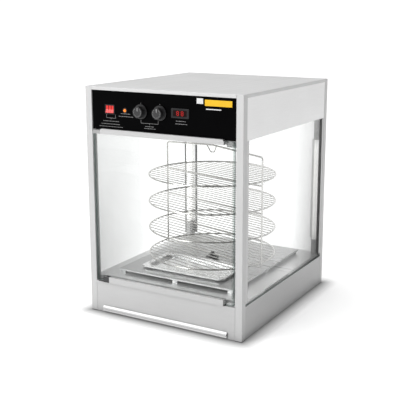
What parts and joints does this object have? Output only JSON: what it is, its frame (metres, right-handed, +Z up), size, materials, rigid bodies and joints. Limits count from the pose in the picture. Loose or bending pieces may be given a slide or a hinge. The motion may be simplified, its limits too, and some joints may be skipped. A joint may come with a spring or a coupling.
{
  "type": "heated food display cabinet",
  "caption": "Countertop glass cabinet that keeps pizzas warm and humid on a rotating round wire rack, with a hinged front door, top controls and a crumb tray.",
  "frame": {"origin": "middle of the overall bounding box's footprint, on the surface the cabinet stands on, which is also the rack's axis", "axes": "+Z up, front with door and controls towards -Y, right-hand side towards +X"},
  "size_m": [0.594, 0.708, 0.785],
  "materials": {
    "frame_aluminium": "satin anodised",
    "plug_rubber": "matt",
    "panel_steel": "fine satin",
    "fascia_black": "gloss",
    "screw_steel": "bright",
    "cabin_steel": "satin",
    "clear_glass": "polished",
    "rail_aluminium": "satin anodised",
    "dark_metal": "satin black",
    "element_sheath": "heat darkened",
    "motor_paint": "semi gloss",
    "rack_chrome": "bright plated",
    "lamp_white": "opal, lit",
    "holder_plastic": "satin grey",
    "control_black": "fine matt",
    "rocker_red": "translucent, lit",
    "lens_amber": "translucent, lit",
    "display_smoke": "smoked"
  },
  "bodies": {
    "cabinet": {"post_front_left": "frame_aluminium", "post_front_right": "frame_aluminium", "post_rear_left": "frame_aluminium", "post_rear_right": "frame_aluminium", "rear_glass_beads": "frame_aluminium", "glazing_channels": "frame_aluminium", "post_plugs": "plug_rubber", "top_cover": "panel_steel", "fascia_carrier": "panel_steel", "header_side_left": "panel_steel", "header_side_right": "panel_steel", "header_rear": "panel_steel", "ceiling_panel": "panel_steel", "base_front": "panel_steel", "base_side_left": "panel_steel", "base_side_right": "panel_steel", "base_rear": "panel_steel", "base_bottom": "panel_steel", "fascia": "fascia_black", "rear_screws": "screw_steel", "floor_pan": "cabin_steel", "deck_plate": "cabin_steel", "deck_legs": "cabin_steel", "tray_guides": "cabin_steel", "lamp_reflectors": "cabin_steel", "motor_bracket": "cabin_steel", "side_glass_left": "clear_glass", "side_glass_right": "clear_glass", "rear_glass": "clear_glass", "door_stops": "rail_aluminium", "heating_element": "element_sheath", "gearmotor": "motor_paint", "lamp_tubes": "lamp_white", "lamp_holders": "holder_plastic", "switch_bezel": "control_black", "thermostats": "control_black", "thermometer_case": "control_black", "inlet_gland": "control_black", "pilot_lamp_bezel": "control_black", "pilot_lamp_lens": "lens_amber", "display_window": "display_smoke"},
    "door": {"door_glass": "clear_glass", "door_upper_rail": "rail_aluminium", "door_lower_rail": "rail_aluminium", "door_upper_pivot": "rail_aluminium", "door_lower_pivot": "dark_metal"},
    "rack": {"drive_hub": "dark_metal", "rack_hoop": "rack_chrome", "rack_arms": "rack_chrome", "shelf_1": "rack_chrome", "shelf_2": "rack_chrome", "shelf_3": "rack_chrome", "shelf_4": "rack_chrome"},
    "crumb_tray": {"crumb_tray": "cabin_steel"},
    "water_pan": {"water_pan": "cabin_steel"},
    "knob_left": {"knob_left": "control_black"},
    "knob_right": {"knob_right": "control_black"},
    "rocker_left": {"rocker_left": "rocker_red"},
    "rocker_middle": {"rocker_middle": "rocker_red"},
    "rocker_right": {"rocker_right": "rocker_red"}
  },
  "joints": [
    {"name": "door_hinge", "type": "hinge", "parent": "cabinet", "child": "door", "pos_m": [-0.25, -0.326, 0.378], "axis": [0, 0, -1], "range_deg": [0, 100]},
    {"name": "rack_spin", "type": "hinge", "parent": "cabinet", "child": "rack", "pos_m": [0, 0, 0.15], "axis": [0, 0, 1], "continuous": true},
    {"name": "crumb_tray_slide", "type": "slide", "parent": "cabinet", "child": "crumb_tray", "axis": [0, -1, 0], "range_m": [0, 0.3]},
    {"name": "water_pan_slide", "type": "slide", "parent": "cabinet", "child": "water_pan", "axis": [0, -1, 0], "range_m": [0, 0.07]},
    {"name": "knob_left_turn", "type": "hinge", "parent": "cabinet", "child": "knob_left", "pos_m": [-0.0755, -0.3325, 0.712], "axis": [0, -1, 0], "range_deg": [-270, 0]},
    {"name": "knob_right_turn", "type": "hinge", "parent": "cabinet", "child": "knob_right", "pos_m": [-0.0025, -0.3325, 0.712], "axis": [0, -1, 0], "range_deg": [-270, 0]},
    {"name": "rocker_left_tilt", "type": "hinge", "parent": "cabinet", "child": "rocker_left", "pos_m": [-0.2086, -0.33, 0.712], "axis": [1, 0, 0], "range_deg": [0, 20]},
    {"name": "rocker_middle_tilt", "type": "hinge", "parent": "cabinet", "child": "rocker_middle", "pos_m": [-0.198, -0.33, 0.712], "axis": [1, 0, 0], "range_deg": [0, 20]},
    {"name": "rocker_right_tilt", "type": "hinge", "parent": "cabinet", "child": "rocker_right", "pos_m": [-0.1874, -0.33, 0.712], "axis": [1, 0, 0], "range_deg": [0, 20]}
  ]
}
